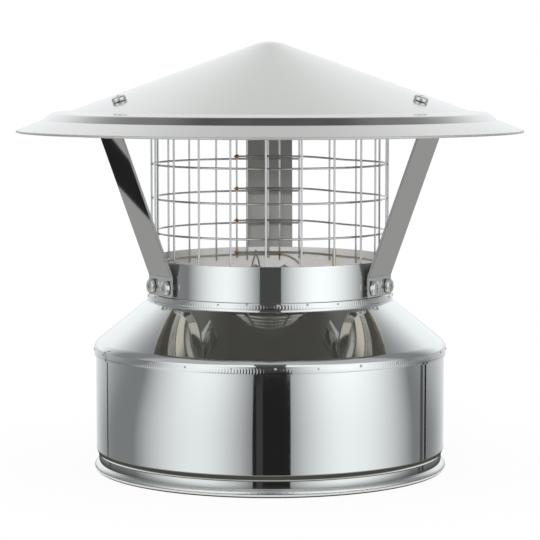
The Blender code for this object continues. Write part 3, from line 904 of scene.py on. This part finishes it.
def draw_guard_wire(path):
    """Round wire along a path, with rounded cut ends and each point's heat."""
    rows = []
    for index, point in enumerate(path):
        tangent = path[min(index + 1, len(path) - 1)] - path[max(index - 1, 0)]
        tangent.normalize()
        out = Vector((point.x, point.y, 0))
        out = (out - tangent * out.dot(tangent)).normalized()
        across = tangent.cross(out)
        ends = [(0.0, 1.0)]
        if index == 0:
            ends = [(0.0, 0.55), (0.3, 1.0)]
        elif index == len(path) - 1:
            ends = [(-0.3, 1.0), (0.0, 0.55)]
        for shift, share in ends:
            row = []
            for side in range(WIRE_SIDES):
                turn = tau * side / WIRE_SIDES
                outwards = out * cos(turn) + across * sin(turn)
                vert = bm.verts.new(
                    point + tangent * shift * WIRE_RADIUS + outwards * WIRE_RADIUS * share
                )
                vert[heat_layer] = weld_warmth(vert.co)
                row.append(vert)
            rows.append(row)
    join_rings(bm, rows, caps=True)


uprights = range(-WIRES_TO_LEFT, WIRES_TO_RIGHT + 1)
dice = random.Random(21)
weld_heats = []
for number in uprights:
    for ring in range(RING_COUNT):
        strength = dice.uniform(0.10, 0.34)
        if number == WIRES_TO_RIGHT:
            strength = dice.uniform(0.80, 0.95)
        if number == -WIRES_TO_LEFT and ring == 0:
            strength = 0.85
        weld_heats.append((ring_point(FRONT_WIRE + number * CELL_ANGLE, ring), strength))

ring_bearings = [
    left_wire - LEFT_STUB * (1 - step / LEFT_STUB_POINTS) for step in range(LEFT_STUB_POINTS)
]
ring_bearings += [
    left_wire + CELL_ANGLE * step / RING_POINTS_PER_CELL
    for step in range((WIRES_TO_LEFT + WIRES_TO_RIGHT) * RING_POINTS_PER_CELL + 1)
]
ring_bearings.append(right_wire + RIGHT_STUB)
for ring in range(RING_COUNT):
    draw_guard_wire([ring_point(bearing, ring) for bearing in ring_bearings])

upright_heights = [LOWEST_RING - STUB_LENGTH]
for ring in range(RING_COUNT):
    middle = LOWEST_RING + ring * CELL_HEIGHT
    upright_heights += [middle + shift for shift in CROSSING_POINTS]
upright_heights.append(middle + STUB_LENGTH)
for number in uprights:
    bearing = FRONT_WIRE + number * CELL_ANGLE
    rise = LAP_RISE * lap_share(bearing)
    draw_guard_wire([
        around(upright_reach(bearing), bearing, height + rise) for height in upright_heights
    ])

# The lap was closed by hand: a bead of weld metal sits on each crossing there.
for ring in range(RING_COUNT):
    seat = ring_point(right_wire, ring)
    seat += Vector((seat.x, seat.y, 0)).normalized() * WIRE_RADIUS
    made = bmesh.ops.create_icosphere(
        bm, subdivisions=3, radius=TACK_RADIUS * dice.uniform(0.85, 1.15),
        matrix=Matrix.Translation(seat),
    )
    for vert in made["verts"]:
        rough = noise.noise(vert.co * 900)
        vert.co += (vert.co - seat) * rough * 0.5
        vert[heat_layer] = 0.62 + 0.5 * rough

guard_steel, *guard_shader = new_worn_steel(
    "guard_wire_steel", (0.74, 0.74, 0.73), 0.14, 0.25, 0.004, 0.00002
)
guard_heat = add_node(guard_shader[0], "Attribute", attribute_name="weld_heat")
add_heat(*guard_shader, guard_heat.outputs["Fac"])
finish_piece("welded_mesh_guard", bm, guard_steel, ["bird_guard"], crease=60)

# ---------------------------------------------------------------------- tie wire
# One closed loop of soft, browned wire, turned round a screw end and the guard's
# lowest ring, so that the guard can't ride up out of the tube.

TIE_RADIUS = 0.00035
TIE_GAP = 0.00018
TIE_ARC_STEPS = 16
TIE_LEG_STEPS = 14

clear_of_wire = TIE_GAP + TIE_RADIUS
screw_side = SCREW_SPACING / 2
screw_loop = SCREW_RADIUS + clear_of_wire
ring_loop = WIRE_RADIUS + clear_of_wire
foot_depth = STRAP_FACE + SEAT_GAP - collar_nut_depth - NUT_HEIGHT - clear_of_wire
tie_bearing = pi + asin(screw_side / ring_reach(pi))
head_depth = ring_reach(tie_bearing) * cos(tie_bearing - pi)
tied_height = LOWEST_RING + LAP_RISE * lap_share(tie_bearing)
ring_rise = tied_height - COLLAR_SCREW_HEIGHT
past_nut = (NUT_FLATS / sqrt(3) + clear_of_wire) / ring_rise


def tie_leg(rise, sign):
    """Point on one leg of the tie, which turns a quarter way round past the nut."""
    turn = max((rise - past_nut) / (1 - past_nut), 0) * pi / 2
    reach = (screw_loop + (ring_loop - screw_loop) * rise) * sign
    deep = foot_depth + (head_depth - foot_depth) * rise + sin(turn) * reach
    return -screw_side - cos(turn) * reach, deep, COLLAR_SCREW_HEIGHT + ring_rise * rise


legs = [step / (TIE_LEG_STEPS + 1) for step in range(1, TIE_LEG_STEPS + 1)]
tie_path = arc_points(
    Vector((-screw_side, foot_depth, COLLAR_SCREW_HEIGHT)),
    Vector((screw_loop, 0, 0)), Vector((0, 0, -screw_loop)), pi, TIE_ARC_STEPS,
)
tie_path += [tie_leg(rise, 1) for rise in legs]
tie_path += arc_points(
    Vector((-screw_side, head_depth, tied_height)),
    Vector((0, ring_loop, 0)), Vector((0, 0, ring_loop)), pi, TIE_ARC_STEPS,
)
tie_path += [tie_leg(rise, -1) for rise in reversed(legs)]

tie_curve = bpy.data.curves.new("tie_wire_loop", "CURVE")
tie_curve.dimensions = "3D"
tie_curve.bevel_depth = TIE_RADIUS
tie_curve.bevel_resolution = 3
tie_line = tie_curve.splines.new("POLY")
tie_line.points.add(len(tie_path) - 1)
for line_point, place in zip(tie_line.points, tie_path):
    line_point.co = (*place, 1)
tie_line.use_cyclic_u = True
tie_curve.materials.append(
    new_worn_steel("tie_wire_steel", (0.46, 0.39, 0.31), 0.25, 0.5, 0.002, 0.00003)[0]
)
tie_wire = add_object("tie_wire_loop", tie_curve)
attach(tie_wire, "root")
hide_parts("guard_tie_wire")

# ---------------------------------------------------------------------- rain hat
# The hat is spun over a former from one round of sheet, satin above and mill-
# finished below: a cone with a rounded tip, a level shelf, a steep riser and a
# sloping brim.  The brim's edge is folded back under itself as a flat hem.

APEX_ROUNDING = 0.023
APEX_STEPS = 10
CONE_STEPS = 12
CONE_END = SHELF_INNER - 0.004
HAT_BENDS = [0.0060, 0.0040, 0.0009]
HEM_WIDTH = 0.005
HEM_STEPS = 8
HEM_GAP = 0.00004

fold_radius = HAT_RADIUS - SHEET + SHEET * sin(BRIM_SLOPE)
fold_height = HAT_EDGE + (HAT_RADIUS - fold_radius) * tan(BRIM_SLOPE)
rounding_end = APEX_ROUNDING * sin(CONE_SLOPE)
dome_centre = cone_height(0) - APEX_ROUNDING / cos(CONE_SLOPE)
hat_skin = arc_points(
    Vector((0, dome_centre)), Vector((0, APEX_ROUNDING)), Vector((APEX_ROUNDING, 0)),
    CONE_SLOPE, APEX_STEPS,
)[:-1]
for step in range(CONE_STEPS):
    radius = rounding_end + (CONE_END - rounding_end) * step / CONE_STEPS
    hat_skin.append(Vector((radius, cone_height(radius))))
hat_skin += bend_path(
    [
        (CONE_END, cone_height(CONE_END)),
        (SHELF_INNER, cone_height(SHELF_INNER)),
        (SHELF_OUTER, brim_top + RISER_HEIGHT),
        (BRIM_FOOT, brim_top),
        (fold_radius, fold_height),
    ],
    HAT_BENDS,
)
down_brim = Vector((cos(BRIM_SLOPE), -sin(BRIM_SLOPE)))
hat_skin.insert(-1, hat_skin[-1] - down_brim * BEND_LEAD)
underside = inner_face(hat_skin, SHEET)
underside[0].x = 0
fold_centre = underside[-1]
brim_normal = (hat_skin[-1] - fold_centre).normalized()
fold = arc_points(fold_centre, brim_normal * SHEET, down_brim * SHEET, pi, HEM_STEPS)[1:]
fold.append(fold[-1] - down_brim * HEM_WIDTH)
fold.append(fold_centre - down_brim * HEM_WIDTH - brim_normal * HEM_GAP)

hat_steel, hat_tree, hat_inputs = new_steel("hat_satin_steel", (0.652, 0.638, 0.60))
hat_x, _, _, hat_reach = object_place(hat_tree)
spun_lines = place_group(
    hat_tree, drawn_lines,
    Across=hat_reach, Along=hat_x, Line_Width=0.0006, Polish=0.13, Dulling=0.09,
)
set_finish(hat_tree, hat_inputs, spun_lines, 0.000008)
hat = finish_piece(
    "spun_rain_hat", turn_section(hat_skin + fold + underside[::-1][1:]),
    hat_steel, ["rain_hat"], crease=50,
)

# Below, the former has smoothed the brim, and its folded edge is dull and painted
# lighter as a painted highlight; the cone keeps a mill finish, painted dark as painted
# shade under the hat.
for name, colour, roughness, belongs in (
    ("hat_mill_brim", (0.62, 0.61, 0.585), 0.09, lambda face: face.normal.z < -0.2),
    # Lighter than the sheet: a painted highlight along the folded edge.
    ("hat_hem_edge", (0.80, 0.79, 0.77), 0.42,
     lambda face: face.center.xy.length > HAT_RADIUS - SHEET),
    # Darker than the other mill finishes: painted shade under the hat.
    ("hat_mill_cone", (0.36, 0.355, 0.345), 0.30,
     lambda face: face.normal.z < -0.2 and face.center.xy.length < SHELF_INNER - 0.003),
):
    add_material(hat, new_mill_finish(name, colour, roughness)[0], belongs)

# ------------------------------------------------------------------------ studio
# A white floor in an evenly white room.  Round it stands a photographer's tent
# that only the metal sees: a soft light to each side of the camera and one over
# it, a white backdrop, a table below, and a dark gap where the camera stands.

SHADOW_SHARE = 0.12
FLOOR_RADIUS = 14


def new_stage_piece(name, bm, material, seen=False):
    """Piece of the studio, not of the object; unless seen, only glossy rays meet it."""
    mesh = bpy.data.meshes.new(name)
    bm.to_mesh(mesh)
    bm.free()
    mesh.shade_smooth()
    mesh.materials.append(material)
    piece = add_object(name, mesh)
    for ray in ("camera", "diffuse", "transmission", "volume_scatter", "shadow"):
        setattr(piece, "visible_" + ray, seen)
    return piece


def lay_disc(name, radius, height, material, seen=False):
    """Level disc of the studio round the object's axis."""
    bm = bmesh.new()
    bmesh.ops.create_circle(
        bm, cap_ends=True, radius=radius, segments=96,
        matrix=Matrix.Translation((0, 0, height)),
    )
    return new_stage_piece(name, bm, material, seen)


def new_stage_material(name, sampling="NONE"):
    """Empty material for a piece of the studio, and its tree."""
    material = bpy.data.materials.new(name)
    material.use_nodes = True
    material.cycles.emission_sampling = sampling
    material.node_tree.nodes.clear()
    return material, material.node_tree


def put_out(tree, *shaders, share=0.0):
    """Link a shader to the output, or two mixed by the second one's share."""
    shader = shaders[0]
    if len(shaders) == 2:
        mixed = add_node(tree, "MixShader")
        for socket, value in zip(mixed.inputs, (share, *shaders)):
            feed(tree, socket, value)
        shader = mixed.outputs[0]
    add_node(tree, "OutputMaterial", Surface=shader)


def glow(tree, colour):
    """Shader that only glows."""
    return add_node(tree, "Emission", Color=colour, Strength=1.0).outputs[0]


def clear(tree):
    """Shader that is seen through."""
    return add_node(tree, "BsdfTransparent").outputs[0]


def ease_between(tree, value, start, finish):
    """Share that rises smoothly from 0 to 1 between two values."""
    return add_node(
        tree, "MapRange", Value=value, From_Min=start, From_Max=finish,
        interpolation_type="SMOOTHSTEP",
    ).outputs["Result"]


floor_paint, tree = new_stage_material("floor_white", "AUTO")
rays = add_node(tree, "LightPath").outputs
direct = ("MAXIMUM", rays["Is Camera Ray"], rays["Is Transmission Ray"])
matt = add_node(tree, "BsdfDiffuse", Color=(1, 1, 1, 1)).outputs[0]
put_out(
    tree, matt, glow(tree, (1, 1, 1, 1)),
    share=calculate(tree, "MULTIPLY", direct, 1 - SHADOW_SHARE),
)
floor = lay_disc("floor", FLOOR_RADIUS, 0, floor_paint, seen=True)
floor.visible_glossy = False

# In reflections the floor is dark where the rim meets it, white right beyond that, and
# darkest outside the white ring: a glowing disc that only reflections see carries the
# floor's contact shadow as painted shade.
FOOT_SHADE_REACH = 0.034

foot_shade, tree = new_stage_material("foot_shade")
reach = object_place(tree)[3]
# Painted shade: near black at the rim's foot and grey outside the white ring.
white_ring = mix_colours(
    tree, ease_between(tree, reach, GROOVE_RADIUS + 0.0014, GROOVE_RADIUS + 0.0024),
    (0.04, 0.04, 0.04, 1), (0.95, 0.95, 0.95, 1),
)
shade_colour = mix_colours(
    tree, ease_between(tree, reach, CASING_RADIUS + 0.0042, CASING_RADIUS + 0.0052),
    white_ring, (0.075, 0.075, 0.07, 1),
)
put_out(
    tree, glow(tree, shade_colour), clear(tree),
    share=ease_between(tree, reach, CASING_RADIUS + 0.0060, CASING_RADIUS + FOOT_SHADE_REACH),
)
lay_disc("foot_shade", CASING_RADIUS + FOOT_SHADE_REACH, 0.0002, foot_shade)

TENT_RADIUS = 4.0
TENT_DIM = 0.25
COOLNESS = 0.035

tent_cloth, tent = new_stage_material("tent_cloth")
x, y, z, _ = object_place(tent)
bearing = calculate(tent, "DEGREES", ("ARCTAN2", x, ("MULTIPLY", y, -1.0)))
rise = calculate(tent, "DEGREES", ("ARCSINE", ("DIVIDE", z, TENT_RADIUS)))
pitch = calculate(tent, "DEGREES", ("ARCTAN2", z, ("ABSOLUTE", y)))
from_back = calculate(tent, "DEGREES", ("ARCCOSINE", ("DIVIDE", y, TENT_RADIUS)))
upper_part = ease_between(tent, rise, -9.2, -5.5)


def by_height(low, high):
    """Value that changes from a light's foot, seen by the casing, to its upper part."""
    return calculate(tent, "ADD", ("MULTIPLY", upper_part, high - low), low)


def side_light(turned, middle, inner, outer, level):
    """Glow of a soft light that fades by a cosine to each side of its middle."""
    apart = calculate(tent, "SUBTRACT", turned, middle)
    inwards = ("DIVIDE", ("MULTIPLY", apart, -1.0), inner)
    share = ("MINIMUM", ("MAXIMUM", inwards, ("DIVIDE", apart, outer)), 1.0)
    return calculate(tent, "MULTIPLY", ("COSINE", ("MULTIPLY", share, pi / 2)), level)


# The lights beside the camera lean in towards it and are brighter higher up.
left_light = side_light(
    calculate(tent, "MULTIPLY", bearing, -1.0),
    by_height(48, 41), by_height(38, 33), by_height(52, 42), by_height(0.77, 0.95),
)
right_light = side_light(
    bearing, by_height(52, 48), by_height(44, 41.5), by_height(55, 50), by_height(0.86, 1.07)
)
back_glow = side_light(calculate(tent, "ABSOLUTE", bearing), 180, by_height(60, 95), 60, 0.80)
sides = ("ADD", ("ADD", left_light, right_light), ("POWER", back_glow, 2.0))
walls = calculate(tent, "ADD", sides, TENT_DIM)

# A light over the camera is bright up to 45 degrees; the ceiling behind it is dim.
over_camera = ("MULTIPLY", ease_between(tent, pitch, 56, 42), 0.65)
overhead = ("MULTIPLY", ease_between(tent, rise, 86, 79), 0.45)
front_top = calculate(tent, "ADD", ("ADD", over_camera, overhead), 0.08)
front_wall = mix_colours(tent, ease_between(tent, rise, 9, 20), walls, front_top)

# The backdrop glows round its middle, which is level with the object.
middle_glow = ("MULTIPLY", ease_between(tent, from_back, 66, 33), 0.82)
spill = ("MULTIPLY", ease_between(tent, rise, 72, 60), 0.19)
backdrop = calculate(tent, "ADD", ("ADD", middle_glow, spill), 0.08)
back_wall = mix_colours(tent, ease_between(tent, rise, -3, 9), walls, backdrop)

# Low down is the far part of the table, of one even grey.
light = mix_colours(tent, ease_between(tent, y, 0.0, 0.8), front_wall, back_wall)
light = mix_colours(tent, 1.0, light, (1 - COOLNESS, 1, 1 + COOLNESS, 1), "MULTIPLY")
light = mix_colours(
    tent, ease_between(tent, rise, -11.5, -14.5), light, (0.40, 0.40, 0.40, 1)
)
put_out(tent, glow(tent, light))
bm = bmesh.new()
bmesh.ops.create_uvsphere(bm, u_segments=96, v_segments=64, radius=TENT_RADIUS)
new_stage_piece("tent", bm, tent_cloth)

# The table round the object, seen only from above, glows with painted light and shade:
# a painted shadow under the object and a painted pool of light in a ring beyond it.
# It lies below the floor, so that the casing's wall can't mirror it.
TABLE_RADIUS = 0.60
TABLE_DEPTH = 0.10

table_paint, tree = new_stage_material("lit_table")
reach = object_place(tree)[3]
# Painted pool of light between these reaches, painted shadow inside them.
lit_ring = calculate(
    tree, "MULTIPLY", ease_between(tree, reach, 0.198, 0.226),
    ease_between(tree, reach, 0.36, 0.33),
)
table_light_and_shade = mix_colours(tree, lit_ring, (0.10, 0.095, 0.085, 1), (1.04, 1.0, 0.93, 1))
put_out(
    tree, glow(tree, table_light_and_shade), clear(tree), share=ease_between(tree, reach, 0.38, 0.46)
)
lay_disc("lit_table", TABLE_RADIUS, -TABLE_DEPTH, table_paint)

CARD_DISTANCE = 3.6
CARD_STEPS = 4

# Each card is one grey; its edges are (rise, left bearing, right bearing) from the
# object, in degrees.  First the gap where the camera stands, then stands and poles.
for name, level, edges in (
    ("camera_gap_top", 0.15, [(56, -14, 14), (46, -12.5, 12.5), (38, -12, 12)]),
    ("camera_gap_upper", 0.075,
     [(38, -11, 11.5), (17, -9.0, 9.6), (-2, -9.2, 10.0), (-6.6, -9.6, 10.6)]),
    ("camera_gap_lower", 0.018, [(-6.6, -10.4, 12.8), (-9, -11.2, 13.1), (-46, -11.4, 12.8)]),
    ("tripod_streak", 0.055, [(-6.8, -8.7, -4.6), (-46, -8.7, -5.2)]),
    ("left_pole", 0.005, [(20, -135.2, -134.0), (-9, -134.0, -132.4), (-14, -133.05, -131.85)]),
    ("left_pole_foot", 0.01, [(-20, -150, -146), (-25, -146, -134), (-29, -138, -131)]),
    ("left_stand", 0.02, [(-14.4, -130.97, -129.9), (-20.5, -130.62, -130.0)]),
    ("right_pole", 0.005, [(-6.3, 120.5, 122.8), (-60, 120.5, 122.8)]),
    ("right_grey_pole", 0.09, [(-6.3, 114.9, 118.4), (-60, 114.9, 118.4)]),
    ("right_pole_foot", 0.02, [(-26, 121, 124), (-31, 118, 134), (-38, 116, 134)]),
):
    card_grey, tree = new_stage_material(name + "_grey")
    put_out(tree, glow(tree, (level, level, level, 1)))
    bm = bmesh.new()
    rows = []
    for rise, left, right in edges:
        rise = radians(rise)
        rows.append([
            bm.verts.new(around(
                CARD_DISTANCE * cos(rise),
                radians(left + (right - left) * step / CARD_STEPS),
                CARD_DISTANCE * sin(rise),
            ))
            for step in range(CARD_STEPS + 1)
        ])
    join_rings(bm, rows, closed=False)
    new_stage_piece(name, bm, card_grey)

# A low lamp beside the camera shines in under the hat, on to the dull inner sides.
LAMP_DISTANCE = 2.5
LAMP_BEARING = radians(-6)
LAMP_HEIGHT = 0.54
LAMP_AIM = Vector((0, 0, 0.11))

lamp_data = bpy.data.lights.new("low_lamp", "AREA")
lamp_data.shape = "RECTANGLE"
lamp_data.size, lamp_data.size_y = 0.7, 0.22
lamp_data.energy = 34
lamp = add_object("low_lamp", lamp_data)
lamp.location = around(LAMP_DISTANCE, LAMP_BEARING, LAMP_HEIGHT)
lamp.rotation_euler = (LAMP_AIM - lamp.location).to_track_quat("-Z", "Y").to_euler()
lamp.visible_camera = False
lamp.visible_glossy = False

world = bpy.data.worlds.new("white_room")
world.use_nodes = True
world.node_tree.nodes["Background"].inputs["Color"].default_value = (1, 1, 1, 1)
world.node_tree.nodes["Background"].inputs["Strength"].default_value = 1.0
bpy.context.scene.world = world

CAMERA_PLACE = (0, -1.1535, 0.2081)
CAMERA_TILT = radians(5.24)
CAMERA_LENS = 149.28

camera_data = bpy.data.cameras.new("camera")
camera_data.sensor_width = 36
camera_data.lens = CAMERA_LENS
camera = add_object("camera", camera_data)
camera.location = CAMERA_PLACE
camera.rotation_euler = (pi / 2 - CAMERA_TILT, 0, 0)
bpy.context.scene.camera = camera
bpy.context.scene.view_settings.view_transform = "Standard"
